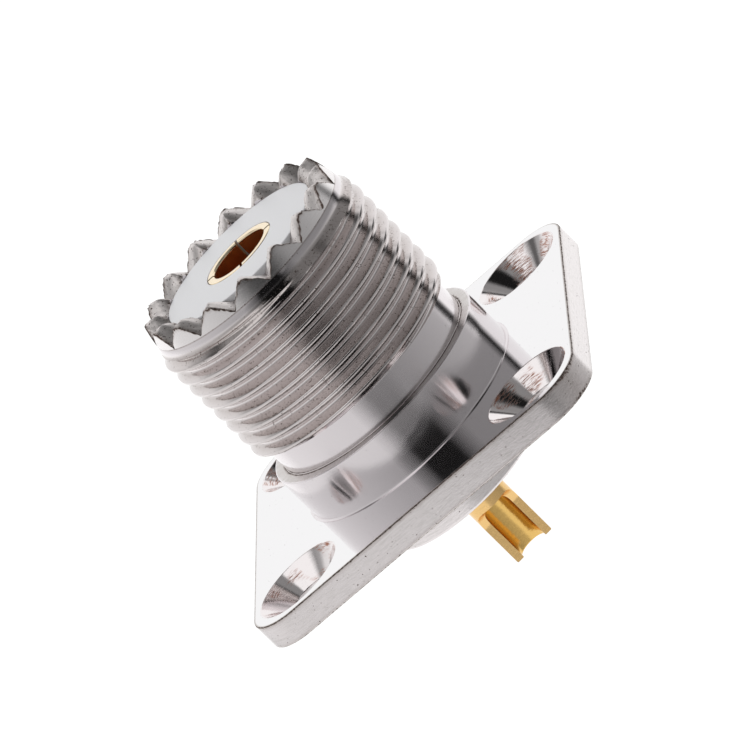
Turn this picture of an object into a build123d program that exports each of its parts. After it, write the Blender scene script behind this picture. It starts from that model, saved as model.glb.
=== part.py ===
from build123d import *
import os
from math import radians, tan

# All sizes are in millimetres. The origin is the centre of the flange's back face,
# and +Z runs along the axis towards the toothed mating rim.

# Square flange with four countersunk screw holes
flange_side = 25.4
flange_thickness = 1.8
flange_corner_radius = 3.0
screw_spacing = 18.26
screw_hole_radius = 1.65
countersink_radius = 3.0
countersink_angle = 90

# Barrel in front of the flange: plain seat with a sloping shoulder, relief, thread, tapered rim
seat_length = 3.15
shoulder_rise = 0.25
seat_overhang = 0.1
relief_length = 1.9
relief_undercut = 0.03
thread_length = 7.9
thread_radius = 7.85
thread_pitch = 25.4 / 24
thread_depth = 0.64
thread_flank_angle = 30
thread_azimuth = 13
thread_run_out = 0.85
thread_chamfer_rise = 0.6
thread_chamfer_drop = 0.4
chamfer_run_out = 0.1
rim_length = 1.85
rim_taper = 0.35
rim_wall = 1.35

# Locating teeth cut across the rim by a V cutter
tooth_count = 16
tooth_depth = 1.25
tooth_angle = 90
tooth_azimuth = 6.5

# Shell bore and the round boss behind the flange
front_bore_floor = 0.8
insulator_step = 0.95
boss_wall = 1.3
boss_length = 3.1

# Insulators, pressed in
insulator_clearance = 0.02
rim_recess = 0.75
boss_recess = 0.3

# Centre contact: slotted socket, stem and solder cup
socket_bore_radius = 2.0
socket_wall = 0.53
socket_floor = 2.55
tine_clearance = 0.17
slot_count = 4
slot_width = 0.35
slot_length = 7.0
slot_azimuth = 6
contact_recess = 0.15
cup_bore_radius = 0.95
cup_wall = 0.5
cup_length = 6.3
cup_bore_depth = 4.4
cup_cut_length = 3.8
cup_cut_radius = 0.75
cup_cut_azimuth = -74

# How far a cutting shape reaches past the metal that it removes
overshoot = 0.15

# Radii that follow from the sizes above
seat_radius = thread_radius + seat_overhang
thread_root_radius = thread_radius - thread_depth
relief_radius = thread_root_radius - relief_undercut
rim_foot_radius = thread_radius - thread_chamfer_drop
rim_tip_radius = rim_foot_radius - rim_taper
front_bore_radius = rim_tip_radius - rim_wall
rear_bore_radius = front_bore_radius - insulator_step
boss_radius = rear_bore_radius + boss_wall
socket_radius = socket_bore_radius + socket_wall
contact_hole_radius = socket_radius + tine_clearance
stem_radius = cup_bore_radius + cup_wall

# Heights above the flange's back face
z_seat = flange_thickness + seat_length
z_relief = z_seat + shoulder_rise
z_thread = z_relief + relief_length
z_chamfer = z_thread + thread_length
z_rim_foot = z_chamfer + thread_chamfer_rise
z_rim = z_rim_foot + rim_length
z_step = flange_thickness - front_bore_floor
z_boss = -boss_length
z_rear_insulator = z_boss + boss_recess
z_insulator = z_rim - rim_recess
z_contact = z_insulator - contact_recess
z_socket_floor = z_step + socket_floor
z_cup = z_boss - cup_length
z_cup_cut = z_cup + cup_cut_length


def radial_plane(azimuth):
    """Plane through the axis: local x points outwards at the azimuth, local y up the axis."""
    return Plane.XZ.rotated((0, 0, azimuth))


# The thread's groove starts in the relief below the thread and ends on the rim's chamfer
groove_start = z_thread - thread_run_out
groove_rise = z_rim_foot + chamfer_run_out - groove_start
groove_mouth = (thread_depth + overshoot) * tan(radians(thread_flank_angle))

with BuildPart() as thread_groove:
    with BuildLine() as groove_path:
        Helix(thread_pitch, groove_rise, thread_root_radius, center=(0, 0, groove_start))
    with BuildSketch(Plane(origin=(thread_root_radius, 0, groove_start), x_dir=(1, 0, 0), z_dir=(0, -1, 0))):
        with BuildLine():
            Polyline(
                (0, 0),
                (thread_depth + overshoot, -groove_mouth),
                (thread_depth + overshoot, groove_mouth),
                close=True,
            )
        make_face()
    sweep(path=groove_path.wires()[0], is_frenet=True)

# The gap between two teeth is a V prism that crosses the rim along a radius
gap_height = tooth_depth + overshoot
gap_mouth = gap_height * tan(radians(tooth_angle / 2))
with BuildPart() as tooth_gap:
    with BuildSketch(Plane.YZ.offset(front_bore_radius / 2)):
        with BuildLine():
            Polyline(
                (0, z_rim - tooth_depth),
                (gap_mouth, z_rim - tooth_depth + gap_height),
                (-gap_mouth, z_rim - tooth_depth + gap_height),
                close=True,
            )
        make_face()
    extrude(amount=thread_radius)

with BuildPart() as shell:
    # The thread is cut in a plain bar before the neck and the rim are turned
    with BuildSketch(Plane.XY.offset(flange_thickness / 2)):
        Circle(thread_radius)
    extrude(amount=z_rim - flange_thickness / 2)
    add(thread_groove.part, rotation=(0, 0, thread_azimuth), mode=Mode.SUBTRACT)
    with BuildSketch(Plane.XY.offset(flange_thickness / 2)):
        Circle(seat_radius)
    extrude(amount=z_relief - flange_thickness / 2)
    with BuildSketch(Plane.XZ):
        with BuildLine():
            Polyline(
                (seat_radius, z_seat),
                (relief_radius, z_relief),
                (relief_radius, z_thread),
                (seat_radius + overshoot, z_thread),
                (seat_radius + overshoot, z_seat),
                close=True,
            )
        make_face()
        with BuildLine():
            Polyline(
                (thread_radius, z_chamfer),
                (rim_foot_radius, z_rim_foot),
                (rim_tip_radius, z_rim),
                (seat_radius + overshoot, z_rim),
                (seat_radius + overshoot, z_chamfer),
                close=True,
            )
        make_face()
    revolve(axis=Axis.Z, mode=Mode.SUBTRACT)
    with BuildSketch():
        RectangleRounded(flange_side, flange_side, flange_corner_radius)
    extrude(amount=flange_thickness)
    with BuildSketch(Plane.XY.offset(z_boss)):
        Circle(boss_radius)
    extrude(amount=boss_length)
    with BuildSketch(Plane.XZ):
        with BuildLine():
            Polyline(
                (0, z_boss),
                (rear_bore_radius, z_boss),
                (rear_bore_radius, z_step),
                (front_bore_radius, z_step),
                (front_bore_radius, z_rim),
                (0, z_rim),
                close=True,
            )
        make_face()
    revolve(axis=Axis.Z, mode=Mode.SUBTRACT)
    with PolarLocations(0, tooth_count, start_angle=tooth_azimuth + 180 / tooth_count):
        add(tooth_gap.part, mode=Mode.SUBTRACT)
    with Locations(Plane.XY.offset(flange_thickness)):
        with GridLocations(screw_spacing, screw_spacing, 2, 2):
            CounterSinkHole(
                screw_hole_radius,
                countersink_radius,
                depth=flange_thickness,
                counter_sink_angle=countersink_angle,
            )
shell.part.label = "shell"

# The front insulator fills the barrel and sits on the step in the shell's bore
with BuildPart() as front_insulator:
    with BuildSketch(Plane.XY.offset(z_step)):
        Circle(front_bore_radius - insulator_clearance)
        Circle(contact_hole_radius, mode=Mode.SUBTRACT)
    extrude(amount=z_insulator - z_step)
front_insulator.part.label = "front_insulator"

# The rear insulator fills the boss and carries the contact's shoulder
with BuildPart() as rear_insulator:
    with BuildSketch(Plane.XY.offset(z_rear_insulator)):
        Circle(rear_bore_radius - insulator_clearance)
        Circle(stem_radius + insulator_clearance, mode=Mode.SUBTRACT)
    extrude(amount=z_step - z_rear_insulator)
rear_insulator.part.label = "rear_insulator"

# The contact is turned and drilled from one bar
with BuildPart() as centre_contact:
    with BuildSketch(Plane.XZ):
        with BuildLine():
            Polyline(
                (0, z_cup),
                (stem_radius, z_cup),
                (stem_radius, z_step),
                (socket_radius, z_step),
                (socket_radius, z_contact),
                (socket_bore_radius, z_contact),
                (socket_bore_radius, z_socket_floor),
                (0, z_socket_floor),
                close=True,
            )
        make_face()
    revolve(axis=Axis.Z)
    with Locations((0, 0, z_cup)):
        Cylinder(
            cup_bore_radius,
            cup_bore_depth,
            align=(Align.CENTER, Align.CENTER, Align.MIN),
            mode=Mode.SUBTRACT,
        )
    with Locations((0, 0, z_contact - slot_length)):
        with PolarLocations(0, slot_count, start_angle=slot_azimuth):
            Box(
                socket_radius * 2,
                slot_width,
                slot_length,
                align=(Align.MIN, Align.CENTER, Align.MIN),
                mode=Mode.SUBTRACT,
            )
    # The cup's near half is milled away, with a rounded end to the cut
    with BuildSketch(radial_plane(cup_cut_azimuth)):
        with BuildLine():
            Polyline(
                (0, z_cup - overshoot),
                (stem_radius + overshoot, z_cup - overshoot),
                (stem_radius + overshoot, z_cup_cut),
                (cup_cut_radius, z_cup_cut),
            )
            RadiusArc((cup_cut_radius, z_cup_cut), (0, z_cup_cut - cup_cut_radius), cup_cut_radius)
            Line((0, z_cup_cut - cup_cut_radius), (0, z_cup - overshoot))
        make_face()
    extrude(amount=stem_radius + overshoot, both=True, mode=Mode.SUBTRACT)
centre_contact.part.label = "centre_contact"

os.makedirs("parts", exist_ok=True)
export_step(shell.part, "parts/shell.step")
export_step(front_insulator.part, "parts/front_insulator.step")
export_step(rear_insulator.part, "parts/rear_insulator.step")
export_step(centre_contact.part, "parts/centre_contact.step")
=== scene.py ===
"""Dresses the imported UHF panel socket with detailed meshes, plated finishes, light and a camera.

Sizes are written in millimetres and azimuths in degrees, and a mesh is turned into metres when it
is made. The axis of the socket is Z, and Z = 0 is the back face of the flange.
"""

from __future__ import annotations

import logging
from dataclasses import dataclass, field
from enum import Enum, IntEnum
from typing import Sequence

import bmesh
import bpy
import numpy as np
from bpy.types import ID, Material, Node, NodeSocket, NodeTree, Object
from mathutils import Matrix, Vector, noise
from mathutils.geometry import delaunay_2d_cdt


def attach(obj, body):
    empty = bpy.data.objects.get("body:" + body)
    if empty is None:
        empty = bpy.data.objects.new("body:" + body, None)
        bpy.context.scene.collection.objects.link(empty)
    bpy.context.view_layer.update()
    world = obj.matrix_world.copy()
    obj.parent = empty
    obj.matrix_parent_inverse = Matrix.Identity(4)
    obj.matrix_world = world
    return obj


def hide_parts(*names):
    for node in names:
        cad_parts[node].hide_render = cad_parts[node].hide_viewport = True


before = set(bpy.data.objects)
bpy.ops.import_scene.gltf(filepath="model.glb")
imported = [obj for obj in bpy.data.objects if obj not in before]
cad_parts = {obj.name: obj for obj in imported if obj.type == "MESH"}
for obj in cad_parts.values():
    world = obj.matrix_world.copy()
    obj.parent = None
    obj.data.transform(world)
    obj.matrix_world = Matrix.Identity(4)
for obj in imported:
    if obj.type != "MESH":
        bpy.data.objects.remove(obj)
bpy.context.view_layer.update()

LOG = logging.getLogger("uhf_panel_socket")
MM = 0.001
BODY = "root"
# Points of a mesh that lie closer together than this are joined.
WELD = 2e-5
# Points round the shell, a screw hole, an insulator and the contact. Each tooth has 24.
SHELL_COLUMNS, HOLE_COLUMNS, PLUG_COLUMNS, CONTACT_COLUMNS = 384, 96, 192, 144
# Points along each side of a reflected card
CARD_POINTS = 41
# Distance between the screw holes, along both sides of the flange
HOLE_SPACING = 18.26
# Setting of a node that fades one level softly into the next
SMOOTH = {"interpolation_type": "SMOOTHSTEP"}


# Small tools -----------------------------------------------------------------------------------


def linear(colour: str) -> tuple[float, float, float, float]:
    """Turns an sRGB hex colour into linear light.

    Args:
        colour: Six hex digits, such as "c8c6c4".

    Returns:
        Linear red, green and blue, and an alpha of 1.
    """
    parts = [int(colour[i : i + 2], 16) / 255 for i in (0, 2, 4)]
    red, green, blue = (c / 12.92 if c <= 0.04045 else ((c + 0.055) / 1.055) ** 2.4 for c in parts)
    return red, green, blue, 1.0


def add_node(
    tree: NodeTree,
    kind: str,
    settings: dict[str, object] | None = None,
    inputs: dict[str | int, object] | None = None,
) -> Node:
    """Adds a node with its settings and links.

    Args:
        tree: The node tree that gets the node.
        kind: Blender's name of the node's type.
        settings: Properties of the node by name.
        inputs: Values or output sockets by the input's name or number.

    Returns:
        The new node.
    """
    node = tree.nodes.new(kind)
    for name, value in (settings or {}).items():
        setattr(node, name, value)
    for name, value in (inputs or {}).items():
        if isinstance(value, NodeSocket):
            tree.links.new(value, node.inputs[name])
        else:
            node.inputs[name].default_value = value
    return node


def new_material(name: str) -> tuple[Material, NodeTree, Node]:
    """Makes a material.

    Args:
        name: Name of the material.

    Returns:
        The material, its node tree and its shader.
    """
    material = bpy.data.materials.new(name)
    material.use_nodes = True
    tree = material.node_tree
    return material, tree, tree.nodes["Principled BSDF"]


def stand(name: str, data: ID) -> Object:
    """Puts a mesh, a camera or a lamp into the scene.

    Args:
        name: Name of the object.
        data: What the object shows.

    Returns:
        The object.
    """
    thing = bpy.data.objects.new(name, data)
    bpy.context.scene.collection.objects.link(thing)
    return thing


def even(count: int) -> np.ndarray:
    """Azimuths in degrees that divide a full turn into as many equal steps as count says."""
    return np.arange(count) * 360 / count


def ring(radius: np.ndarray | float, z: np.ndarray | float, azimuths: np.ndarray) -> np.ndarray:
    """Points round the axis.

    Args:
        radius: Radius in millimetres, one or one for each azimuth.
        z: Height in millimetres, one or one for each azimuth.
        azimuths: Azimuths in degrees.

    Returns:
        One row of points.
    """
    a = np.radians(azimuths)
    return np.stack([radius * np.cos(a), radius * np.sin(a), np.full_like(a, z)], axis=-1)


def turned(profile: Sequence[tuple[float, float]], azimuths: np.ndarray) -> np.ndarray:
    """Turns a profile round the axis.

    Args:
        profile: Radius and height of each point.
        azimuths: Azimuths in degrees.

    Returns:
        A grid of points, one row for each point of the profile.
    """
    return np.stack([ring(r, z, azimuths) for r, z in profile])


def eased(corners: Sequence[tuple[float, float, float]], steps: int = 3) -> list[tuple[float, float]]:
    """Rounds the corners of a turned profile and keeps the walls between them straight.

    Args:
        corners: Radius, height and rounding of each corner.
        steps: Number of chords in a rounding.

    Returns:
        The profile's points.
    """
    lead = 0.3
    out: list[tuple[float, float]] = []
    for i, (r, z, size) in enumerate(corners):
        here = np.array([r, z])
        if size == 0 or i in (0, len(corners) - 1):
            out.append((r, z))
            continue
        before = np.array(corners[i - 1][:2]) - here
        after = np.array(corners[i + 1][:2]) - here
        before, after = before / np.linalg.norm(before) * size, after / np.linalg.norm(after) * size
        start, end = here + before, here + after
        shares = np.linspace(0, 1, steps + 1)
        arc = [(1 - t) ** 2 * start + 2 * t * (1 - t) * here + t**2 * end for t in shares]
        # A short straight lead on both sides of the arc keeps its shading off the walls.
        for point in (start + before * lead, *arc, end + after * lead):
            out.append((float(point[0]), float(point[1])))
    return out


@dataclass
class Draft:
    """Points and faces of one piece before they become a mesh, in millimetres."""

    points: list[tuple[float, float, float]] = field(default_factory=list)
    faces: list[tuple[int, ...]] = field(default_factory=list)
    finishes: list[int] = field(default_factory=list)
    dirt_and_shade: list[float] = field(default_factory=list)

    def grid(
        self, rows: np.ndarray, finish: int = 0, closed: bool = True, dirt_and_shade: np.ndarray | float = 0.0
    ) -> None:
        """Adds a sheet of quads.

        Args:
            rows: Points as rows, columns and coordinates.
            finish: Number of the finish.
            closed: Whether the last column joins the first.
            dirt_and_shade: How much dirt and painted shade lie on the points, one value, one for each row or
                one for each point.
        """
        count, columns = rows.shape[:2]
        base = len(self.points)
        self.points.extend(map(tuple, rows.reshape(-1, 3).tolist()))
        share = np.asarray(dirt_and_shade, dtype=float)
        share = share[:, None] if share.ndim == 1 else share
        self.dirt_and_shade.extend(np.broadcast_to(share, (count, columns)).ravel().tolist())
        for i in range(count - 1):
            for j in range(columns if closed else columns - 1):
                k = (j + 1) % columns
                a, b = base + i * columns, base + (i + 1) * columns
                self.faces.append((a + j, a + k, b + k, b + j))
                self.finishes.append(int(finish))

    def plate(self, loops: Sequence[np.ndarray], z: float, finish: int = 0) -> None:
        """Adds a flat plate with round holes.

        Args:
            loops: The convex outline, then each hole's outline, as plane points.
            z: Height of the plate.
            finish: Number of the finish.
        """
        merge, inside = 1e-6, 0.9995
        points: list[Vector] = []
        edges: list[tuple[int, int]] = []
        for loop in loops:
            start, count = len(points), len(loop)
            points += [Vector(p) for p in loop[:, :2]]
            edges += [(start + i, start + (i + 1) % count) for i in range(count)]
        verts, _, triangles, *_ = delaunay_2d_cdt(points, edges, [], 0, merge)
        flat = np.array([tuple(v) for v in verts])
        centres = [loop[:, :2].mean(0) for loop in loops[1:]]
        holes = [(c, np.linalg.norm(loop[0, :2] - c)) for c, loop in zip(centres, loops[1:])]
        base = len(self.points)
        self.points.extend((x, y, z) for x, y in flat)
        self.dirt_and_shade.extend([0.0] * len(flat))
        for triangle in triangles:
            centre = flat[list(triangle)].mean(0)
            if any(np.linalg.norm(centre - c) < r * inside for c, r in holes):
                continue
            self.faces.append(tuple(base + i for i in triangle))
            self.finishes.append(int(finish))

    def piece(self, name: str, crease: float = 38.0) -> Object:
        """Makes the mesh object.

        Args:
            name: Name of the piece.
            crease: Angle in degrees above which an edge is sharp.

        Returns:
            The object, linked to the scene.
        """
        mesh = bpy.data.meshes.new(name)
        mesh.from_pydata([tuple(c * MM for c in p) for p in self.points], [], self.faces)
        mesh.polygons.foreach_set("material_index", self.finishes)
        mesh.attributes.new("dirt_and_shade", "FLOAT", "POINT").data.foreach_set("value", self.dirt_and_shade)
        work = bmesh.new()
        work.from_mesh(mesh)
        bmesh.ops.remove_doubles(work, verts=work.verts, dist=WELD * MM)
        bmesh.ops.dissolve_degenerate(work, edges=work.edges, dist=WELD * MM)
        bmesh.ops.recalc_face_normals(work, faces=work.faces)
        open_edges = sum(1 for e in work.edges if len(e.link_faces) != 2)
        for face in work.faces:
            face.smooth = True
        work.to_mesh(mesh)
        work.free()
        mesh.set_sharp_from_angle(angle=np.radians(crease))
        LOG.info("%s: %d faces, %d open edges", name, len(mesh.polygons), open_edges)
        return stand(name, mesh)


def carve(piece: Object, cutters: Sequence[Object]) -> None:
    """Cuts closed shapes out of a piece and removes the cutters.

    Args:
        piece: The piece to cut.
        cutters: Closed mesh objects.
    """
    for cutter in cutters:
        cut = piece.modifiers.new("cut", "BOOLEAN")
        cut.operation = "DIFFERENCE"
        cut.solver = "EXACT"
        cut.object = cutter
    shape = bpy.data.meshes.new_from_object(piece.evaluated_get(bpy.context.evaluated_depsgraph_get()))
    piece.modifiers.clear()
    piece.data = shape
    for cutter in cutters:
        bpy.data.objects.remove(cutter)


def block(name: str, outline: np.ndarray, depth: float, place: Matrix) -> Object:
    """Makes a closed prism to cut with.

    Args:
        name: Name of the cutter.
        outline: Its outline as plane points in millimetres.
        depth: Half of its thickness in millimetres.
        place: Where the outline's plane stands, in millimetres.

    Returns:
        The cutter.
    """
    draft = Draft()
    layers = [np.c_[outline, np.full(len(outline), side)] for side in (-depth, depth)]
    draft.grid(np.array([[tuple(place @ Vector(p)) for p in layer] for layer in layers]))
    count = len(outline)
    draft.faces += [tuple(range(count)), tuple(range(2 * count - 1, count - 1, -1))]
    draft.finishes += [0, 0]
    return draft.piece(name)


# Finishes ----------------------------------------------------------------------------------------


class Marks(Enum):
    """Which way the tool left its marks on a metal surface."""

    ROUND_AXIS = "round the socket's axis"
    ROUND_HOLE = "round each screw hole"
    SHEARED = "across the flange's edge"
    POLISHED = "in all directions"


@dataclass(frozen=True)
class Nickel:
    """Bright nickel plate on cut brass: a neutral, slightly warm mirror that shows the cut beneath.

    Pitches and sizes of patterns are in millimetres. The real tool marks are about 0.02 mm apart,
    too fine to show, so one drawn mark stands for a few of them. Grain, specks and the broken edge of
    dirt and painted shade have the size of the larger real ones. Levels are the heights of a pattern
    between which it fades in.
    """

    name: str
    marks: Marks
    tint: str = "e6e0e2"
    roughness: float = 0.12
    anisotropy: float = 0.0
    mark_pitch: float = 0.09
    mark_depth: float = 0.001
    mark_circle: float = 0.4
    mark_length: float = 0.12
    grain: float = 0.12
    grain_depth: float = 0.0
    speck: float = 0.13
    speck_share: float = 0.0
    speck_levels: tuple[float, float] = (0.8, 0.84)
    dirt_and_shade_grain: float = 0.16
    dirt_and_shade_spread: float = 1.6
    dirt_and_shade_levels: tuple[float, float] = (0.5, 0.8)
    dirt_and_shade_cover: float = 0.9
    dirt_and_shade_roughness: float = 0.6
    # The stain paints dirt and shade where the mesh's values pass a broken edge, and the haze paints them
    # smoothly.
    stain_and_shade: str = "5c4b43"
    cloud: str = "b8b2ae"
    haze_and_shade: str = "a89c96"
    cloud_share: float = 0.0
    cloud_levels: tuple[float, float] = (0.4, 0.7)
    cloud_matt: float = 0.0
    patch_size: float = 0.0
    patch_levels: tuple[float, float] = (0.5, 0.6)

    def coordinates(self, tree: NodeTree, place: NodeSocket) -> NodeSocket:
        """Builds the direction in which the tool marks run.

        Args:
            tree: The material's node tree.
            place: Coordinates of the surface.

        Returns:
            Coordinates that change slowly along a mark and fast from one mark to the next.
        """
        if self.marks is Marks.POLISHED:
            return place
        apart = add_node(tree, "ShaderNodeSeparateXYZ", inputs={0: place})
        x, y, z = (apart.outputs[i] for i in range(3))
        if self.marks is Marks.SHEARED:
            # The pattern is slowed down along the edge, so a mark is about eight times as long as wide.
            along = add_node(tree, "ShaderNodeMath", {"operation": "ADD"}, {0: x, 1: y}).outputs[0]
            slowed = {0: along, 1: self.mark_length}
            slow = add_node(tree, "ShaderNodeMath", {"operation": "MULTIPLY"}, slowed).outputs[0]
            return add_node(tree, "ShaderNodeCombineXYZ", inputs={0: slow, 1: z, 2: 0.0}).outputs[0]
        if self.marks is Marks.ROUND_HOLE:
            # The four holes are folded onto one, and the marks run round its axis.
            for settings, inputs in (
                ({"operation": "ABSOLUTE"}, {}),
                ({"operation": "SUBTRACT"}, {1: HOLE_SPACING / 2 * MM}),
            ):
                x, y = (
                    add_node(tree, "ShaderNodeMath", settings, {0: c, **inputs}).outputs[0] for c in (x, y)
                )
        # One turn follows a small circle in the pattern, so that a mark fades out along the turn.
        flat = add_node(tree, "ShaderNodeCombineXYZ", inputs={0: x, 1: y, 2: 0.0}).outputs[0]
        radius = add_node(tree, "ShaderNodeVectorMath", {"operation": "LENGTH"}, {0: flat}).outputs["Value"]
        heading = add_node(tree, "ShaderNodeVectorMath", {"operation": "NORMALIZE"}, {0: flat}).outputs[0]
        circle = {0: heading, "Scale": self.mark_circle * MM}
        heading = add_node(tree, "ShaderNodeVectorMath", {"operation": "SCALE"}, circle).outputs[0]
        across = add_node(tree, "ShaderNodeMath", {"operation": "ADD"}, {0: z, 1: radius}).outputs[0]
        lift = add_node(tree, "ShaderNodeCombineXYZ", inputs={0: 0.0, 1: 0.0, 2: across}).outputs[0]
        return add_node(tree, "ShaderNodeVectorMath", {"operation": "ADD"}, {0: heading, 1: lift}).outputs[0]

    def dirt_and_shade(self, tree: NodeTree, place: NodeSocket, held: NodeSocket) -> NodeSocket:
        """Builds the share of the surface that dirt and painted shade cover.

        Args:
            tree: The material's node tree.
            place: Coordinates of the surface.
            held: How much dirt and painted shade the mesh gives each place.

        Returns:
            1 where dirt, painted shade and specks cover the surface.
        """
        grain = {"Vector": place, "Scale": 1.0 / (self.dirt_and_shade_grain * MM), "Detail": 3.0, "Roughness": 0.7}
        broken = add_node(tree, "ShaderNodeTexNoise", inputs=grain).outputs["Fac"]
        # The noise is centred on zero, so that it breaks up the edge of a place with dirt and painted shade.
        centred = {0: broken, 1: self.dirt_and_shade_spread, 2: -self.dirt_and_shade_spread / 2}
        broken = add_node(tree, "ShaderNodeMath", {"operation": "MULTIPLY_ADD"}, centred).outputs[0]
        broken = add_node(tree, "ShaderNodeMath", {"operation": "ADD"}, {0: held, 1: broken}).outputs[0]
        low, high = self.dirt_and_shade_levels
        edge = {"Value": broken, "From Min": low, "From Max": high, "To Max": self.dirt_and_shade_cover}
        lines = add_node(tree, "ShaderNodeMapRange", SMOOTH, edge).outputs[0]
        specks = {"Vector": place, "Scale": 1.0 / (self.speck * MM), "Detail": 1.0}
        pits = add_node(tree, "ShaderNodeTexNoise", inputs=specks).outputs["Fac"]
        low, high = (level - self.speck_share for level in self.speck_levels)
        edge = {"Value": pits, "From Min": low, "From Max": high}
        pits = add_node(tree, "ShaderNodeMapRange", SMOOTH, edge).outputs[0]
        return add_node(
            tree, "ShaderNodeMath", {"operation": "MAXIMUM", "use_clamp": True}, {0: pits, 1: lines}
        ).outputs[0]

    def worn(self, tree: NodeTree, place: NodeSocket, lines: NodeSocket) -> NodeSocket:
        """Builds the share of the surface on which the plate is worn.

        Args:
            tree: The material's node tree.
            place: Coordinates of the surface.
            lines: Height of the tool marks.

        Returns:
            The share, which follows the crests of the marks.
        """
        low, high = self.cloud_levels
        crests = {"Value": lines, "From Min": low, "From Max": high, "To Max": self.cloud_share}
        streaks = add_node(tree, "ShaderNodeMapRange", SMOOTH, crests).outputs[0]
        if self.patch_size == 0:
            return streaks
        # The plate is worn through to the copper coloured layer in a few patches only.
        size = {"Vector": place, "Scale": 1.0 / (self.patch_size * MM), "Detail": 1.0}
        patches = add_node(tree, "ShaderNodeTexNoise", inputs=size).outputs["Fac"]
        low, high = self.patch_levels
        limits = {"Value": patches, "From Min": low, "From Max": high, "To Max": streaks}
        return add_node(tree, "ShaderNodeMapRange", SMOOTH, limits).outputs[0]

    def build(self) -> Material:
        """Builds the material.

        Returns:
            The material.
        """
        material, tree, shader = new_material(self.name)
        shader.inputs["Metallic"].default_value = 1.0
        place = add_node(tree, "ShaderNodeTexCoord").outputs["Object"]
        held = add_node(tree, "ShaderNodeAttribute", {"attribute_name": "dirt_and_shade"}).outputs["Fac"]
        lines, grains = (
            add_node(
                tree,
                "ShaderNodeTexNoise",
                inputs={"Vector": where, "Scale": 1.0 / (size * MM), "Detail": detail, "Roughness": 0.6},
            ).outputs["Fac"]
            for where, size, detail in (
                (self.coordinates(tree, place), self.mark_pitch, 2.0),
                (place, self.grain, 3.0),
            )
        )
        below: dict[str, object] = {}
        for height, depth in ((lines, self.mark_depth), (grains, self.grain_depth)):
            bump = {"Strength": 1.0, "Distance": depth * MM, "Height": height, **below}
            below = {"Normal": add_node(tree, "ShaderNodeBump", inputs=bump).outputs[0]}
        tree.links.new(below["Normal"], shader.inputs["Normal"])
        if self.anisotropy > 0:
            # Turning marks spread a reflection along the axis, across the marks.
            shader.inputs["Anisotropic"].default_value = self.anisotropy
            shader.inputs["Anisotropic Rotation"].default_value = 0.25
            round_axis = add_node(tree, "ShaderNodeTangent", {"direction_type": "RADIAL", "axis": "Z"})
            tree.links.new(round_axis.outputs[0], shader.inputs["Tangent"])
        worn = self.worn(tree, place, lines)
        dirt_and_shade = self.dirt_and_shade(tree, place, held)
        metal: object = linear(self.tint)
        for share, over in ((worn, self.cloud), (held, self.haze_and_shade), (dirt_and_shade, self.stain_and_shade)):
            layers = {"Factor": share, 6: metal, 7: linear(over)}
            metal = add_node(tree, "ShaderNodeMix", {"data_type": "RGBA"}, layers).outputs[2]
        tree.links.new(metal, shader.inputs["Base Color"])
        rough = {"Value": dirt_and_shade, "To Min": self.roughness, "To Max": self.dirt_and_shade_roughness}
        matt = add_node(tree, "ShaderNodeMapRange", inputs=rough).outputs[0]
        # Where the plate is worn away in streaks, the cut brass beneath is rougher.
        matt = add_node(
            tree, "ShaderNodeMath", {"operation": "MULTIPLY_ADD"}, {0: worn, 1: self.cloud_matt, 2: matt}
        ).outputs[0]
        tree.links.new(matt, shader.inputs["Roughness"])
        return material


class Surface(IntEnum):
    """The shell's surfaces that were cut in different ways, in the order of its materials."""

    TURNED = 0
    THREADED = 1
    POLISHED = 2
    SHEARED = 3
    DRILLED = 4
    MILLED = 5
    RIM = 6
    EDGE = 7


SHELL_FINISHES: dict[Surface, Nickel] = {
    # Turned with a fine feed: a highlight is drawn out along the barrel.
    Surface.TURNED: Nickel(
        "turned_nickel", Marks.ROUND_AXIS, anisotropy=0.8, mark_depth=0.0012, speck_share=0.03,
    ),
    # Thread cut on the lathe: bright flanks with specks, and a brown haze and stain that paint shade beside
    # each crest.
    Surface.THREADED: Nickel(
        "threaded_nickel", Marks.ROUND_AXIS, tint="e8e2e2", roughness=0.1, mark_depth=0.0015,
        speck_share=0.09, haze_and_shade="968880",
    ),
    # Faced flat and plated bright: nearly a plain mirror with a few specks.
    Surface.POLISHED: Nickel(
        "polished_nickel", Marks.POLISHED, tint="f3f2f3", roughness=0.06, mark_depth=0.0, speck_share=0.035,
    ),
    # Cut rough, on the flange's sides and the boss: short scratches, a pale bloom and many specks.
    Surface.SHEARED: Nickel(
        "sheared_nickel", Marks.SHEARED, tint="e8e2e2", roughness=0.2, mark_depth=0.0012,
        grain_depth=0.004, speck_share=0.08, cloud_share=0.5, cloud="d2cdcb",
    ),
    # Countersunk: deep rings from the drill's lips, and copper colour where the plate is worn through.
    Surface.DRILLED: Nickel(
        "drilled_nickel", Marks.ROUND_HOLE, tint="f2ecec", roughness=0.08, mark_depth=0.003,
        cloud_share=0.9, cloud="b06a48", cloud_matt=0.45, patch_size=1.6,
    ),
    # Milled and left as it was: a rough, pitted, satin face.
    Surface.MILLED: Nickel(
        "milled_nickel", Marks.POLISHED, tint="e6e0de", roughness=0.34, mark_depth=0.0,
        grain=0.1, grain_depth=0.014, speck_share=0.13,
    ),
    # Turned with a coarser feed before the teeth were cut: rings and a softer shine.
    Surface.RIM: Nickel(
        "rim_nickel", Marks.ROUND_AXIS, tint="eeeaea", roughness=0.2, mark_depth=0.002, speck_share=0.04,
    ),
    # Edges eased by tumbling, and the corner below the neck: dull and a little darker, with fine dents. In
    # the corner below the neck, the darker tint is painted shade.
    Surface.EDGE: Nickel(
        "edge_nickel", Marks.SHEARED, tint="e0dcda", roughness=0.3, mark_depth=0.006, grain_depth=0.01,
    ),
}


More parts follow.
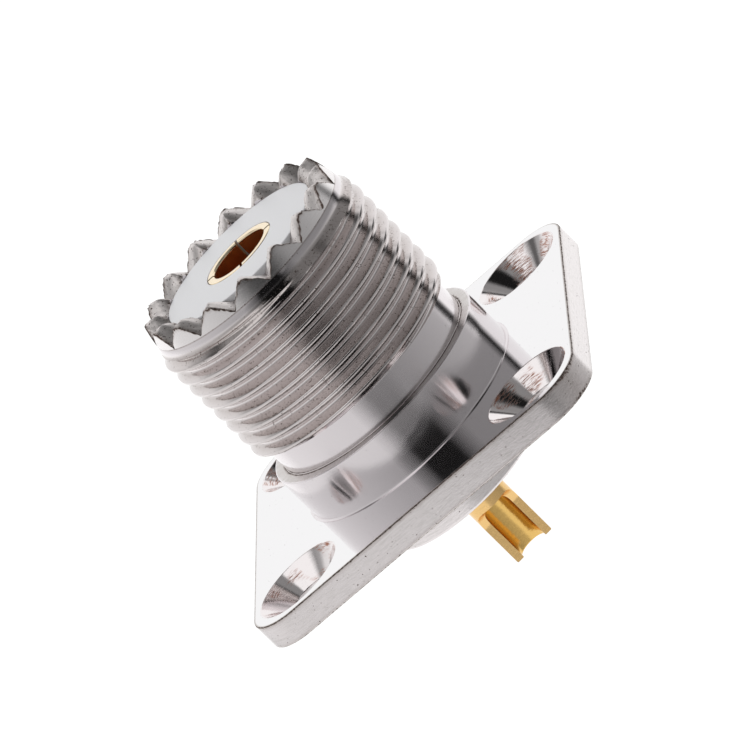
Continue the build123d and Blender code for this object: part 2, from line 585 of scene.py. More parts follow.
@dataclass(frozen=True)
class Ptfe:
    """Turned PTFE: dense white, waxy and nearly matt, with a weak highlight."""

    name: str = "turned_ptfe"
    tint: str = "dfdfe1"
    roughness: float = 0.45
    ior: float = 1.35

    def build(self) -> Material:
        """Builds the material.

        Returns:
            The material.
        """
        material, _, shader = new_material(self.name)
        shader.inputs["Base Color"].default_value = linear(self.tint)
        shader.inputs["Roughness"].default_value = self.roughness
        shader.inputs["IOR"].default_value = self.ior
        return material


@dataclass(frozen=True)
class Gold:
    """Thin gold plate over turned brass: warm yellow, a little satin from the cut beneath.

    The grain of the cut is too fine to show, so it is drawn about 0.25 mm wide.
    """

    name: str
    tint: str
    roughness: float = 0.2
    grain: float = 0.25
    grain_depth: float = 0.01

    def build(self) -> Material:
        """Builds the material.

        Returns:
            The material.
        """
        material, tree, shader = new_material(self.name)
        shader.inputs["Base Color"].default_value = linear(self.tint)
        shader.inputs["Metallic"].default_value = 1.0
        shader.inputs["Roughness"].default_value = self.roughness
        place = add_node(tree, "ShaderNodeTexCoord").outputs["Object"]
        grain = {"Vector": place, "Scale": 1.0 / (self.grain * MM), "Detail": 3.0, "Roughness": 0.6}
        height = add_node(tree, "ShaderNodeTexNoise", inputs=grain).outputs["Fac"]
        cut = {"Strength": 1.0, "Distance": self.grain_depth * MM, "Height": height}
        satin = add_node(tree, "ShaderNodeBump", inputs=cut).outputs[0]
        tree.links.new(satin, shader.inputs["Normal"])
        return material


class Gilt(IntEnum):
    """The contact's surfaces, in the order of its materials."""

    OUTSIDE = 0
    LIP = 1
    BORE = 2
    CUP = 3


CONTACT_FINISHES: dict[Gilt, Gold] = {
    # Plated over the turned outside: warm yellow and satin.
    Gilt.OUTSIDE: Gold("gold_plate", "ecc484"),
    # Paler and brighter than the outside: a painted highlight on the lip.
    Gilt.LIP: Gold("gold_lip_highlight", "f8e6c6", 0.15),
    # Redder and duller than the outside: painted shade in the deep bore.
    Gilt.BORE: Gold("gold_bore", "dc8a4c", 0.4),
    # A little deeper in colour than the outside: painted shade inside the cup.
    Gilt.CUP: Gold("gold_cup", "e6bd70"),
}


# The socket's pieces -------------------------------------------------------------------------------


@dataclass
class Shell:
    """The turned and milled body: flange, seat, neck, threaded barrel, toothed rim and rear boss."""

    flange_side: float = 25.4
    flange_thickness: float = 1.8
    flange_ease: float = 0.08
    flange_band: float = 0.3
    corner_radius: float = 3.0
    corner_chords: int = 48
    side_points: int = 100
    hole_radius: float = 1.65
    countersink_radius: float = 3.0
    hole_margin: float = 0.05
    dark_corner_heading: float = -45.0
    dark_corner_spread: float = 7.5
    dark_corner_share: float = 0.42
    seat_radius: float = 7.95
    seat_foot: float = 8.13
    seat_top: float = 5.07
    neck_radius: float = 7.18
    neck_lip: float = 0.03
    thread_bottom: float = 7.1
    thread_lead: float = 0.12
    thread_radius: float = 7.85
    # Half of the groove's form: distance along the axis from its middle, and depth below the crest.
    form: tuple[tuple[float, float], ...] = (
        (0.0, 0.56),
        (0.05, 0.55),
        (0.09, 0.522),
        (0.13, 0.475),
        (0.17, 0.415),
        (0.185, 0.393),
        (0.415, 0.057),
        (0.43, 0.035),
        (0.46, 0.008),
        (0.529, 0.0),
    )
    pitch: float = 25.4 / 24
    groove_at_zero: float = 6.26
    # Painted shade over one pitch: distance above the groove's middle, and how much shade the place gets.
    shade_places: tuple[float, ...] = (0.0, 0.12, 0.22, 0.34, 0.42, 0.48, 0.58, 0.66, 0.76, 0.92, 1.06)
    shade_form: tuple[float, ...] = (0.0, 0.0, 0.15, 0.35, 0.66, 0.3, 0.05, 0.2, 0.54, 0.42, 0.0)
    helix_top: float = 14.6
    helix_turns: tuple[int, int] = (-1, 9)
    chamfer_bottom: float = 15.0
    # Darkening between the last whole turn and the rim: height, and how much the place is darkened.
    upper_rows: int = 22
    upper_places: tuple[float, ...] = (14.6, 15.0, 15.2, 15.5, 15.62, 15.75)
    upper_darkening: tuple[float, ...] = (0.25, 0.3, 0.45, 0.45, 0.3, 0.0)
    fade_rise: float = 0.12
    fade_length: float = 0.45
    rim_foot: float = 15.6
    rim_foot_radius: float = 7.45
    rim_start: float = 0.15
    rim_top: float = 17.45
    rim_top_radius: float = 7.1
    # Fine groove below the teeth: distance below their roots, and depth.
    rim_groove: tuple[tuple[float, float], ...] = ((0.12, 0.0), (0.07, 0.035), (0.03, 0.035), (0.01, 0.0))
    bore_radius: float = 5.75
    bore_join: float = 16.0
    wall_rows: int = 4
    tooth_depth: float = 1.25
    inner_fall: float = 0.45
    tooth_count: int = 16
    tooth_azimuth: float = 6.5
    tip_rounding: float = 0.16
    tip_lift: float = 0.6
    burr_size: float = 0.14
    burr_calm: float = 0.25
    burr_waves: float = 34.0
    burr_seed: float = 7.3
    burr_drift: float = 9.0
    step_height: float = 1.0
    rear_bore_radius: float = 4.8
    boss_radius: float = 6.1
    boss_length: float = 3.1
    boss_lip: float = 0.1

    def __post_init__(self) -> None:
        """Sets the azimuths of the columns, one of which runs through each tooth's tip."""
        self.azimuths = self.tooth_azimuth + even(SHELL_COLUMNS)

    def envelope(self, z: np.ndarray) -> np.ndarray:
        """Radius of the plain barrel before the thread is cut.

        Args:
            z: Heights.

        Returns:
            Radii.
        """
        crest, bottom, lead = self.thread_radius, self.thread_bottom, self.thread_lead
        heights = [bottom, bottom + lead, self.chamfer_bottom, self.rim_foot, self.rim_top]
        radii = [crest - lead, crest, crest, self.rim_foot_radius, self.rim_top_radius]
        return np.interp(z, heights, radii)

    def thread(self, z: np.ndarray, azimuths: np.ndarray) -> np.ndarray:
        """Radius of the threaded barrel, on which the groove fades out below the rim.

        Args:
            z: Heights.
            azimuths: Azimuths in degrees, of the same shape.

        Returns:
            Radii.
        """
        turn = (z - self.groove_at_zero) / self.pitch - azimuths / 360
        away = np.abs(turn - np.round(turn)) * self.pitch
        fall = np.interp(away, *zip(*self.form))
        fade = np.clip((self.rim_foot + self.fade_rise - z) / self.fade_length, 0, 1)
        return np.minimum(self.envelope(z), self.thread_radius - fall * fade)

    def skin(self, z: np.ndarray) -> np.ndarray:
        """One row of points of the threaded barrel, from the height at each column."""
        return ring(self.thread(z, self.azimuths), z, self.azimuths)

    def tooth_height(self, radius: np.ndarray | float) -> np.ndarray:
        """Height of the rim after the V cuts.

        Args:
            radius: Radius at each column.

        Returns:
            Heights.
        """
        step = 360 / self.tooth_count
        off = (self.azimuths - self.tooth_azimuth - step / 2) / step
        aside = np.abs(np.sin(np.radians((off - np.round(off)) * step))) * radius
        below = np.maximum(self.tooth_depth - aside, 0.0)
        lift = self.tip_rounding * self.tip_lift
        return self.rim_top - np.sqrt(below**2 + self.tip_rounding**2) + lift

    def burr(self, place: float) -> np.ndarray:
        """Unevenness that the milling cutter leaves on the teeth.

        Args:
            place: Place across the rim, from 0 outside to 1 inside.

        Returns:
            Depths, which are greatest at both edges of the rim.
        """
        calm = self.burr_calm
        size = self.burr_size * (calm + (1 - calm) * abs(2 * place - 1) ** 3)
        waves, shift = self.burr_waves, self.burr_seed + place * self.burr_drift
        smoothness, finer, layers = 0.5, 2.0, 4
        rough = [
            noise.fractal(Vector((np.cos(q) * waves, np.sin(q) * waves, shift)), smoothness, finer, layers)
            for q in np.radians(self.azimuths)
        ]
        return np.clip(0.5 + np.array(rough), 0, 1) * size

    def foot(self, draft: Draft) -> None:
        """Adds the seat, its shoulder and the neck.

        Args:
            draft: The draft that gets them.
        """
        profile = eased(
            [
                (self.seat_foot, self.flange_thickness, 0),
                (self.seat_radius, self.flange_thickness, 0.1),
                (self.seat_radius, self.seat_top, 0.07),
                (self.neck_radius, self.seat_top, 0.05),
                (self.neck_radius, self.thread_bottom, 0.04),
                (self.neck_radius + self.neck_lip, self.thread_bottom, 0),
            ]
        )
        # Shade is painted into the corner between the shoulder and the neck, darkest in the corner.
        seat_edge, corner_shade_width = self.seat_radius - 0.1, 0.2
        corner = next(i for i, (r, _) in enumerate(profile) if r < seat_edge)
        draft.grid(turned(profile[:corner], self.azimuths), Surface.TURNED)
        ledge = [profile[corner - 1], (self.neck_radius + corner_shade_width, self.seat_top), profile[corner]]
        draft.grid(turned(ledge, self.azimuths), Surface.EDGE, dirt_and_shade=[0.25, 0.3, 0.9])
        # The foot of the neck gets painted shade that fades upwards.
        darkened = [0.9, 0.8, 0.5, 0.2]
        darkened += [0.0] * (len(profile) - corner - len(darkened))
        draft.grid(turned(profile[corner:], self.azimuths), Surface.TURNED, dirt_and_shade=darkened)
        neck_end = ring(self.neck_radius + self.neck_lip, self.thread_bottom, self.azimuths)
        thread_end = self.skin(np.full(SHELL_COLUMNS, self.thread_bottom))
        draft.grid(np.stack([neck_end, thread_end]), Surface.THREADED)

    def barrel(self, draft: Draft) -> None:
        """Adds the threaded barrel, whose rows follow the helix up to the last whole turn.

        Args:
            draft: The draft that gets the skin.
        """
        away = [place for place, _ in self.form]
        offsets = away + [self.pitch - place for place in reversed(away[1:-1])]
        turns, per_turn = range(*self.helix_turns), len(offsets)
        rows = []
        for turn in turns:
            for offset in offsets:
                z = self.groove_at_zero + self.pitch * (turn + self.azimuths / 360) + offset
                rows.append(self.skin(np.clip(z, self.thread_bottom, self.helix_top)))
        # The last column of a helical row meets the row one turn higher.
        grid = np.stack(rows)
        closing = np.concatenate([grid[per_turn:, :1], grid[-per_turn:, :1]])
        helix = np.concatenate([grid, closing], axis=1)[:-per_turn]
        # Painted shade lies under each crest and on the groove's wall above it.
        held = np.interp(offsets, self.shade_places, self.shade_form)
        dirt_and_shade = np.tile(held, len(turns))[:-per_turn]
        # Rows that lie wholly on the thread's lower or upper end are left out, but for one of each.
        close = 1e-6
        first = int((helix[:, :, 2].max(1) <= self.thread_bottom + close).sum()) - 1
        last = len(helix) - int((helix[:, :, 2].min(1) >= self.helix_top - close).sum())
        kept = slice(first, last + 1)
        draft.grid(helix[kept], Surface.THREADED, closed=False, dirt_and_shade=dirt_and_shade[kept])
        heights = np.linspace(self.helix_top, self.rim_foot + self.rim_start, self.upper_rows)
        upper = [self.skin(np.full(SHELL_COLUMNS, z)) for z in heights]
        darkened = np.interp(heights, self.upper_places, self.upper_darkening)
        draft.grid(np.stack(upper), Surface.THREADED, dirt_and_shade=darkened)

    def rim(self, draft: Draft) -> None:
        """Adds the toothed rim.

        Args:
            draft: The draft that gets it.
        """
        azimuths, land = self.azimuths, self.rim_groove[-1][0]
        root = self.rim_top - self.tooth_depth
        levels = [(self.rim_foot + self.rim_start, 0.0)]
        levels += [(root - below, depth) for below, depth in self.rim_groove]
        line = [(float(self.envelope(z)) - depth, z) for z, depth in levels]
        # The two rows at the bottom of the fine groove below the teeth get painted shade.
        draft.grid(turned(line, azimuths), Surface.TURNED, dirt_and_shade=[0, 0, 0.5, 0.5, 0])
        # The taper moves the outer edge in as it rises, so its height is found in a few rounds.
        edge = self.tooth_height(self.rim_top_radius)
        for _ in range(4):
            edge = self.tooth_height(self.envelope(edge))
        edge = edge - self.burr(0.0)
        # The rows at the top of the outer wall are darkened.
        dirt_and_shade = [0.0] * 7 + [0.2, 0.85]
        outer = []
        for t in np.linspace(0, 1, len(dirt_and_shade)):
            z = root - land + (edge - root + land) * t
            outer.append(ring(self.envelope(z), z, azimuths))
        draft.grid(np.stack(outer), Surface.RIM, dirt_and_shade=dirt_and_shade)
        outside = self.envelope(edge)
        # The tops of the teeth are darkened along both edges, most on the outside.
        dirt_and_shade = [0.95, 0.5, 0.15, 0, 0, 0, 0, 0, 0, 0.1, 0.4, 0.7]
        across = []
        for t in np.linspace(0, 1, len(dirt_and_shade)):
            r = outside + (self.bore_radius - outside) * t
            z = self.tooth_height(r) - self.burr(t)
            # The inner half of each tooth falls off towards the bore, most at its tip.
            share = np.clip((z - root) / self.tooth_depth, 0.0, 1.0)
            z = z - self.inner_fall * max(0.0, 2 * t - 1) ** 1.5 * share
            across.append(ring(r, z, azimuths))
        draft.grid(np.stack(across), Surface.MILLED, dirt_and_shade=dirt_and_shade)
        lip = across[-1][:, 2]
        heights = [lip + (self.bore_join - lip) * t for t in np.linspace(0, 1, self.wall_rows)]
        draft.grid(np.stack([ring(self.bore_radius, z, azimuths) for z in heights]), Surface.TURNED)

    def rear(self, draft: Draft) -> None:
        """Adds the bore, its step and the rear boss.

        Args:
            draft: The draft that gets them.
        """
        lip, end = -self.boss_length + self.boss_lip, -self.boss_length
        bore = [
            (self.bore_radius, self.bore_join),
            (self.bore_radius, self.step_height),
            (self.rear_bore_radius, self.step_height),
            (self.rear_bore_radius, lip),
        ]
        draft.grid(turned(bore, self.azimuths), Surface.TURNED)
        boss = eased(
            [
                (self.rear_bore_radius, lip, 0),
                (self.rear_bore_radius, end, 0.06),
                (self.boss_radius, end, 0.15),
                (self.boss_radius, 0.0, 0),
            ]
        )
        draft.grid(turned(boss, self.azimuths), Surface.SHEARED)

    def outline(self, inset: float) -> np.ndarray:
        """Outline of the flange.

        Args:
            inset: How far the outline lies inside the flange's sides.

        Returns:
            Points of the closed outline.
        """
        half = self.flange_side / 2 - self.corner_radius
        radius = self.corner_radius - inset
        corners = [(half, half, 0), (-half, half, 90), (-half, -half, 180), (half, -half, 270)]
        arcs = []
        for x, y, start in corners:
            q = np.radians(np.linspace(start, start + 90, self.corner_chords + 1))
            arcs.append(np.c_[x + radius * np.cos(q), y + radius * np.sin(q)])
        shares = np.linspace(0, 1, self.side_points)[1:-1, None]
        loop = []
        for arc, after in zip(arcs, arcs[1:] + arcs[:1]):
            loop += [arc, arc[-1] + (after[0] - arc[-1]) * shares]
        return np.concatenate(loop)

    def flange(self, draft: Draft) -> None:
        """Adds the flange with its countersunk holes.

        Args:
            draft: The draft that gets it.
        """
        ease, top = self.flange_ease, self.flange_thickness
        flat, bend, lead = ease + 0.06, ease * 0.3, ease * 1.4
        # How far in and how far down each row lies, from the front face to below the eased edge
        steps = [(flat, 0.0), (ease, 0.0), (bend, bend), (0.0, ease), (0.0, lead), (0.0, self.flange_band)]
        levels = [(inset, top - drop) for inset, drop in steps] + steps[::-1]
        loops = [self.outline(inset) for inset, _ in levels]
        sides = np.stack([np.c_[loop, np.full(len(loop), z)] for loop, (_, z) in zip(loops, levels)])
        # The rows along the flange's eased edges, front and back, and along both edges of its sides are
        # darkened.
        draft.grid(sides[:4], Surface.EDGE, dirt_and_shade=[0.0, 0.4, 0.9, 0.5])
        # The side faces darken towards the corner at this heading.
        heading = np.degrees(np.arctan2(sides[0, :, 1], sides[0, :, 0]))
        near = 1 - np.abs(heading - self.dark_corner_heading) / self.dark_corner_spread
        dark_corner = self.dark_corner_share * np.clip(near, 0, 1)
        edge_darkening = np.array([0.5, 0.4, 0.0, 0.0, 0.3, 0.4])
        draft.grid(sides[3:9], Surface.SHEARED, dirt_and_shade=edge_darkening[:, None] + dark_corner)
        draft.grid(sides[8:], Surface.EDGE, dirt_and_shade=[0.45, 0.7, 0.4, 0.0])
        sink = eased(
            [
                (self.countersink_radius + self.hole_margin, top, 0),
                (self.countersink_radius, top, 0.04),
                (self.hole_radius, top + self.hole_radius - self.countersink_radius, 0.04),
                (self.hole_radius, 0.0, 0.04),
                (self.hole_radius + self.hole_margin, 0.0, 0),
            ]
        )
        fronts, backs = [], []
        for x, y in ((-1, -1), (-1, 1), (1, -1), (1, 1)):
            hole = turned(sink, even(HOLE_COLUMNS)) + np.array([x, y, 0]) * HOLE_SPACING / 2
            draft.grid(hole, Surface.DRILLED)
            fronts.append(hole[0])
            backs.append(hole[-1])
        seat = ring(self.seat_foot, top, self.azimuths)
        boss = ring(self.boss_radius, 0.0, self.azimuths)
        draft.plate([sides[0], seat, *fronts], top, Surface.POLISHED)
        draft.plate([sides[-1], boss, *backs], 0.0, Surface.POLISHED)

    def build(self) -> Object:
        """Builds the shell's mesh.

        Returns:
            The piece.
        """
        draft = Draft()
        for part in (self.foot, self.barrel, self.rim, self.rear, self.flange):
            part(draft)
        return draft.piece("shell_plated")

    def dress(self, piece: Object) -> None:
        """Gives each surface of the shell its finish.

        Args:
            piece: The shell.
        """
        for surface in Surface:
            piece.data.materials.append(SHELL_FINISHES[surface].build())
        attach(piece, BODY)
        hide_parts("shell")


@dataclass
class Insulator:
    """A turned PTFE plug with a hole along its axis."""

    name: str
    node: str
    radius: float
    hole_radius: float
    bottom: float
    top: float
    edge: float = 0.08
    mouth_edge: float = 0.03

    def build(self) -> Object:
        """Builds the plug's mesh.

        Returns:
            The piece.
        """
        middle = (self.bottom + self.top) / 2
        profile = eased(
            [
                (self.hole_radius, middle, 0),
                (self.hole_radius, self.top, self.mouth_edge),
                (self.radius, self.top, self.edge),
                (self.radius, self.bottom, self.edge),
                (self.hole_radius, self.bottom, self.edge),
                (self.hole_radius, middle, 0),
            ]
        )
        draft = Draft()
        draft.grid(turned(profile, even(PLUG_COLUMNS)))
        return draft.piece(self.name)

    def dress(self, piece: Object) -> None:
        """Gives the plug its finish and its place in the frame.

        Args:
            piece: The plug.
        """
        piece.data.materials.append(bpy.data.materials.get("turned_ptfe") or Ptfe().build())
        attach(piece, BODY)
        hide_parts(self.node)


@dataclass
class Contact:
    """The centre contact: slotted socket in front, stem, and solder cup behind."""

    socket_radius: float = 2.53
    socket_bore: float = 2.0
    mouth: float = 16.71
    floor: float = 3.55
    shoulder: float = 1.0
    stem_radius: float = 1.45
    cup_bore: float = 0.95
    cup_end: float = -9.4
    cup_floor: float = -5.0
    # The cutter that mills the cup's near half away: its top, end radius, distance from the axis,
    # heading, half width, how far it reaches out and past the cup's end, and points of its rounding
    cut_top: float = -5.25
    cut_radius: float = 1.25
    cut_near: float = 0.15
    cut_azimuth: float = -74.0
    cut_half_width: float = 2.2
    cut_reach: float = 2.0
    cut_past: float = 0.3
    cut_points: int = 16
    # The saw that cuts the slots: width and length of a slot, and how far the saw reaches in and out
    slot_count: int = 4
    slot_width: float = 0.17
    slot_length: float = 7.0
    slot_azimuth: float = 6.0
    slot_past: float = 0.1
    slot_reach: tuple[float, float] = (0.8, 3.0)
    lip_depth: float = 0.2
    crease: float = 30.0

    def build(self) -> Object:
        """Builds the contact's mesh.

        Returns:
            The piece.
        """
        profile = eased(
            [
                (0.0, self.cup_floor, 0),
                (self.cup_bore, self.cup_floor, 0.05),
                (self.cup_bore, self.cup_end, 0.06),
                (self.stem_radius, self.cup_end, 0.08),
                (self.stem_radius, self.shoulder, 0),
                (self.socket_radius, self.shoulder, 0.06),
                (self.socket_radius, self.mouth, 0.1),
                (self.socket_bore, self.mouth, 0.14),
                (self.socket_bore, self.floor, 0.05),
                (0.0, self.floor, 0),
            ],
            4,
        )
        draft = Draft()
        draft.grid(turned(profile, even(CONTACT_COLUMNS)))
        piece = draft.piece("centre_contact_plated")
        carve(piece, [*self.saws(), self.cup_cutter()])
        for polygon in piece.data.polygons:
            polygon.use_smooth = True
        piece.data.set_sharp_from_angle(angle=np.radians(self.crease))
        return piece

    def saws(self) -> list[Object]:
        """Makes the cutters of the slots.

        Returns:
            One cutter for each slot.
        """
        half, (inner, outer) = self.slot_width / 2, self.slot_reach
        slot = np.array([[inner, -half], [outer, -half], [outer, half], [inner, half]])
        middle = Matrix.Translation((0, 0, self.mouth - self.slot_length / 2 + self.slot_past))
        saws = []
        for i, azimuth in enumerate(self.slot_azimuth + even(self.slot_count)):
            place = middle @ Matrix.Rotation(np.radians(azimuth), 4, "Z")
            saws.append(block(f"slot_{i}", slot, self.slot_length / 2 + self.slot_past, place))
        return saws

    def cup_cutter(self) -> Object:
        """Makes the cutter of the solder cup, which leaves a rounded end.

        Returns:
            The cutter.
        """
        near, radius, end = self.cut_near, self.cut_radius, self.cup_end - self.cut_past
        rounding = [
            (near + radius - radius * np.cos(q), self.cut_top - radius + radius * np.sin(q))
            for q in np.radians(np.linspace(90, 0, self.cut_points))
        ]
        side = np.array([(near, end), (self.cut_reach, end), (self.cut_reach, self.cut_top), *rounding])
        stand_up = Matrix(((1, 0, 0, 0), (0, 0, -1, 0), (0, 1, 0, 0), (0, 0, 0, 1)))
        turn = Matrix.Rotation(np.radians(self.cut_azimuth), 4, "Z")
        return block("cup_cut", side, self.cut_half_width, turn @ stand_up)

    def surface(self, x: float, y: float, z: float) -> Gilt:
        """Tells which surface of the contact a place belongs to.

        Args:
            x: First coordinate in millimetres.
            y: Second coordinate in millimetres.
            z: Height in millimetres.

        Returns:
            The surface.
        """
        skin, depth = 0.02, 0.1
        radius = np.hypot(x, y) - skin
        if z > self.mouth - self.lip_depth:
            return Gilt.LIP
        if radius < self.socket_bore and z > self.floor - depth:
            return Gilt.BORE
        if radius < self.cup_bore and z < self.cup_floor + depth:
            return Gilt.CUP
        return Gilt.OUTSIDE

    def dress(self, piece: Object) -> None:
        """Gives the contact its finishes and its place in the frame.

        Args:
            piece: The contact.
        """
        piece.data.materials.clear()
        for surface in Gilt:
            piece.data.materials.append(CONTACT_FINISHES[surface].build())
        for polygon in piece.data.polygons:
            polygon.material_index = int(self.surface(*(polygon.center / MM)))
        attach(piece, BODY)
        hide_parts("centre_contact")


# Studio --------------------------------------------------------------------------------------------


@dataclass(frozen=True)
class Card:
    """A soft-edged card on a dome round the object, seen only in the object's reflections.

    Azimuths count from heading, the side from which the camera looks. A bow bends the card's sides
    along with the curve of a reflection, by so many degrees.
    """

    name: str
    azimuths: tuple[float, float]
    elevations: tuple[float, float]
    greys: tuple[float, float]
    softness: tuple[float, float]
    radius: float
    bow: float = 0.0
    heading: float = -74.3

    def build(self, material: Material) -> None:
        """Stands the card on the dome.

        Args:
            material: Material that reads the card's grey and cover.
        """
        n = CARD_POINTS
        across = np.linspace(*self.azimuths, n)
        up = np.linspace(*self.elevations, n)
        rows = []
        for elevation in np.radians(up):
            r, z = self.radius * np.cos(elevation), self.radius * np.sin(elevation)
            rise = min(abs(np.degrees(elevation)) / self.bow, 1.0) if self.bow else 0.0
            rows.append(ring(r, z, across + self.heading + self.bow * (1 - np.sqrt(1 - rise**2))))
        points = np.stack(rows).reshape(-1, 3) * MM
        faces = [(k, k + 1, k + n + 1, k + n) for k in range(n * (n - 1)) if k % n != n - 1]
        mesh = bpy.data.meshes.new(self.name)
        mesh.from_pydata(points.tolist(), [], faces)
        cover_across = np.minimum(across - across[0], across[-1] - across) / self.softness[0]
        # A card that reaches the top of the dome has no soft edge there.
        top = up[-1] if up[-1] < 90 else 180.0
        cover_up = np.minimum(up - up[0], top - up) / self.softness[1]
        cover = np.outer(np.clip(cover_up, 0, 1), np.clip(cover_across, 0, 1)).ravel()
        grey = np.tile(np.linspace(*self.greys, n), n)
        for label, values in (("cover", cover), ("grey", grey)):
            mesh.attributes.new(label, "FLOAT", "POINT").data.foreach_set("value", values)
        mesh.materials.append(material)
        card = stand(self.name, mesh)
        for ray in ("camera", "diffuse", "transmission", "volume_scatter", "shadow"):
            setattr(card, f"visible_{ray}", False)


CARDS = (
    Card("left_pale", (-130, -5), (-16.2, 8), (0.85, 0.6), (20, 1), 152),
    Card("left_grey", (-160, -5), (2, 48), (0.95, 0.3), (20, 10), 151),
    Card("left_middle_grey", (-150, -84), (30, 78), (0.5, 0.3), (16, 8), 150),
    Card("left_high_dark", (-136, -96), (42, 60), (0.12, 0.12), (8, 6), 149),
    Card("right_grey", (-4, 112), (-16.2, 36), (0.24, 0.62), (10, 1), 148, 34),
    Card("front_grey", (-32, 24), (-16.2, 66), (0.3, 0.3), (24, 1), 147.5),
    Card("high_right_grey", (14, 130), (26, 82), (0.24, 0.26), (10, 4), 147),
    Card("far_right_grey", (112, 190), (37, 82), (0.26, 0.26), (8, 4), 146.5),
    Card("far_right_stripe", (116, 176), (38.5, 48), (0.07, 0.07), (8, 4), 146),
    Card("upper_right_grey", (14, 117), (4, 38), (0.26, 0.3), (10, 10), 145.5, 34),
    Card("right_stripe", (102, 122), (-16.2, 33), (0.03, 0.03), (8.5, 1), 145, 34),
    Card("upper_right_black", (56, 114), (42, 70), (0.01, 0.01), (10, 6), 144),
    Card("roof_dark", (-180, 180), (76, 90), (0.05, 0.05), (0.1, 6), 143),
    Card("front_black", (-34, 32), (5, 67), (0.006, 0.006), (20, 6), 142),
    # These stand nearer the object and below the others.
    Card("boss_grey", (-150, 130), (-19.0, -14.0), (0.7, 0.55), (20, 1.5), 61),
    Card("left_low_pale", (-140, -10), (-14.6, -2), (0.95, 0.72), (20, 1), 60),
    Card("right_low_grey", (-6, 107), (-14.6, -2), (0.2, 0.5), (12, 1), 59, 34),
    Card("front_low_grey", (-32, 22), (-14.6, -2), (0.25, 0.25), (24, 1), 58),
    Card("front_low_black", (-24, 20), (-13.6, -10.0), (0.006, 0.006), (14, 0.7), 57),
    Card("right_low_stripe", (102, 122), (-14.6, -2), (0.03, 0.03), (8.5, 1), 56, 34),
    Card("front_below", (-25, 110), (-33, -18.0), (0.62, 0.34), (20, 1), 57),
)


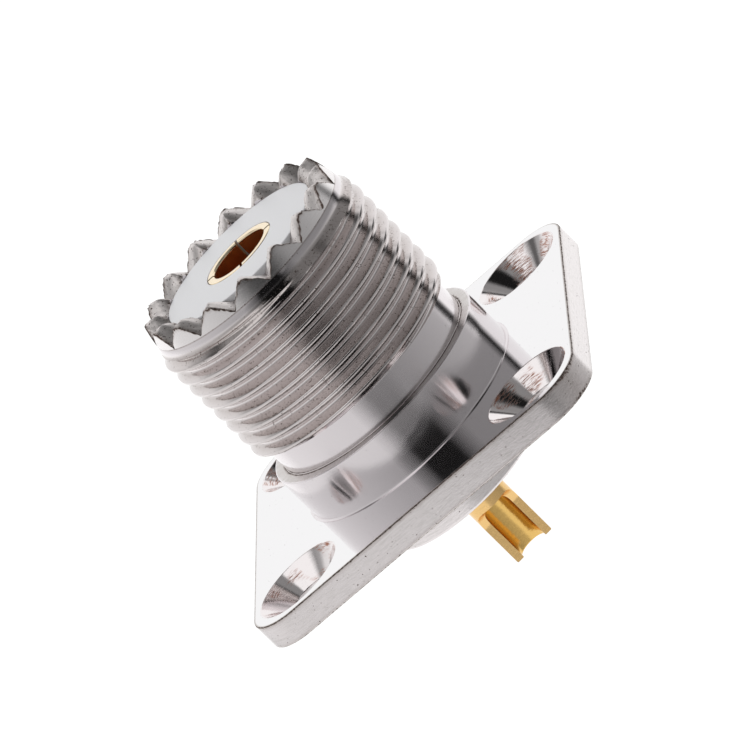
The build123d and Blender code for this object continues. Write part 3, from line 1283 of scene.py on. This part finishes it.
@dataclass
class Studio:
    """White floor, soft light, grey cards that shape the reflections, and the camera."""

    station: tuple[float, float, float] = (94.3715, -335.7638, 111.5194)
    target: tuple[float, float, float] = (0.2666, 1.0941, 5.0564)
    roll: float = 45.369
    focal_length: float = 292.33
    sensor_width: float = 36.0
    clip: tuple[float, float] = (10.0, 10000.0)
    floor_height: float = -60.0
    floor_reach: float = 1500.0
    paper: str = "f2f2f2"
    # Where the floor is seen, this share of it glows this bright, and the rest is its shaded paper.
    floor_glow: float = 1.12
    floor_share: float = 0.85
    # Strength of the surround where it lights the object, and where it is seen
    surround: tuple[float, float] = (0.7, 1.0)
    lamp_place: tuple[float, float, float] = (-300.0, 250.0, 350.0)
    lamp_target: tuple[float, float, float] = (0.0, 0.0, 5.0)
    lamp_side: float = 350.0
    lamp_power: float = 1.0

    def camera(self) -> None:
        """Sets the camera at the photograph's viewing angle."""
        data = bpy.data.cameras.new("camera")
        data.sensor_width = self.sensor_width
        data.lens = self.focal_length
        data.clip_start, data.clip_end = (distance * MM for distance in self.clip)
        camera = stand("camera", data)
        ahead = (Vector(self.target) - Vector(self.station)).normalized()
        side = ahead.cross(Vector((0, 0, 1))).normalized()
        down = ahead.cross(side)
        turn = np.radians(self.roll)
        right = side * np.cos(turn) + down * np.sin(turn)
        up = right.cross(ahead)
        pose = Matrix((right, up, -ahead)).transposed().to_4x4()
        pose.translation = Vector(self.station) * MM
        camera.matrix_world = pose
        bpy.context.scene.camera = camera

    def seen_white(self, tree: NodeTree) -> NodeSocket:
        """Tells rays that show the background from rays that only light the object.

        Args:
            tree: The node tree.

        Returns:
            1 for camera, glossy and transmission rays.
        """
        path = add_node(tree, "ShaderNodeLightPath")
        seen = path.outputs["Is Camera Ray"]
        for ray in ("Is Glossy Ray", "Is Transmission Ray"):
            rays = {0: seen, 1: path.outputs[ray]}
            seen = add_node(tree, "ShaderNodeMath", {"operation": "MAXIMUM"}, rays).outputs[0]
        return seen

    def floor(self) -> None:
        """Lays the pale floor, which shows white and keeps the object's shadow."""
        mesh = bpy.data.meshes.new("floor")
        side, z = self.floor_reach * MM, self.floor_height * MM
        corners = [(-side, -side, z), (side, -side, z), (side, side, z), (-side, side, z)]
        mesh.from_pydata(corners, [], [(0, 1, 2, 3)])
        floor = stand("floor", mesh)
        material, tree, shader = new_material("floor_paper")
        tree.nodes.remove(shader)
        paper = add_node(tree, "ShaderNodeBsdfDiffuse", inputs={"Color": linear(self.paper)}).outputs[0]
        glow = add_node(tree, "ShaderNodeEmission", inputs={"Strength": self.floor_glow}).outputs[0]
        seen = {0: self.seen_white(tree), 1: self.floor_share}
        share = add_node(tree, "ShaderNodeMath", {"operation": "MULTIPLY"}, seen).outputs[0]
        both = add_node(tree, "ShaderNodeMixShader", inputs={0: share, 1: paper, 2: glow}).outputs[0]
        tree.links.new(both, tree.nodes["Material Output"].inputs["Surface"])
        mesh.materials.append(material)

    def world(self) -> None:
        """Sets an even white surround."""
        world = bpy.data.worlds.new("studio")
        bpy.context.scene.world = world
        world.use_nodes = True
        tree = world.node_tree
        lit, seen = self.surround
        levels = {"Value": self.seen_white(tree), "To Min": lit, "To Max": seen}
        level = add_node(tree, "ShaderNodeMapRange", inputs=levels).outputs[0]
        tree.links.new(level, tree.nodes["Background"].inputs["Strength"])
        tree.nodes["Background"].inputs["Color"].default_value = (1, 1, 1, 1)

    def card_material(self) -> Material:
        """Builds the paper of the cards, which glows evenly in its own grey.

        Returns:
            The material.
        """
        material, tree, shader = new_material("card_paper")
        tree.nodes.remove(shader)
        grey, cover = (
            add_node(tree, "ShaderNodeAttribute", {"attribute_name": label}).outputs["Fac"]
            for label in ("grey", "cover")
        )
        glow = add_node(tree, "ShaderNodeEmission", inputs={"Strength": grey}).outputs[0]
        clear = add_node(tree, "ShaderNodeBsdfTransparent").outputs[0]
        card = add_node(tree, "ShaderNodeMixShader", inputs={0: cover, 1: clear, 2: glow}).outputs[0]
        tree.links.new(card, tree.nodes["Material Output"].inputs["Surface"])
        return material

    def lamp(self) -> None:
        """Hangs a soft square lamp that faces the object and isn't seen in its reflections."""
        data = bpy.data.lights.new("key_light", "AREA")
        data.size = self.lamp_side * MM
        data.energy = self.lamp_power
        lamp = stand("key_light", data)
        lamp.location = Vector(self.lamp_place) * MM
        lamp.visible_glossy = False
        lamp.rotation_mode = "QUATERNION"
        ahead = Vector(self.lamp_target) - Vector(self.lamp_place)
        lamp.rotation_quaternion = ahead.to_track_quat("-Z", "Y")

    def build(self) -> None:
        """Sets up the whole studio."""
        self.camera()
        self.floor()
        self.world()
        paper = self.card_material()
        for card in CARDS:
            card.build(paper)
        self.lamp()


def main() -> None:
    """Builds and dresses every piece, then the studio."""
    logging.basicConfig(level=logging.INFO, format="%(name)s: %(message)s")
    bpy.context.scene.view_settings.view_transform = "Standard"
    parts = [
        Shell(),
        Insulator("front_insulator_turned", "front_insulator", 5.73, 2.56, 1.0, 16.7),
        Insulator("rear_insulator_turned", "rear_insulator", 4.78, 1.47, -2.8, 1.0),
        Contact(),
    ]
    for part in parts:
        piece = part.build()
        part.dress(piece)
    Studio().build()


if __name__ == "__main__":
    main()
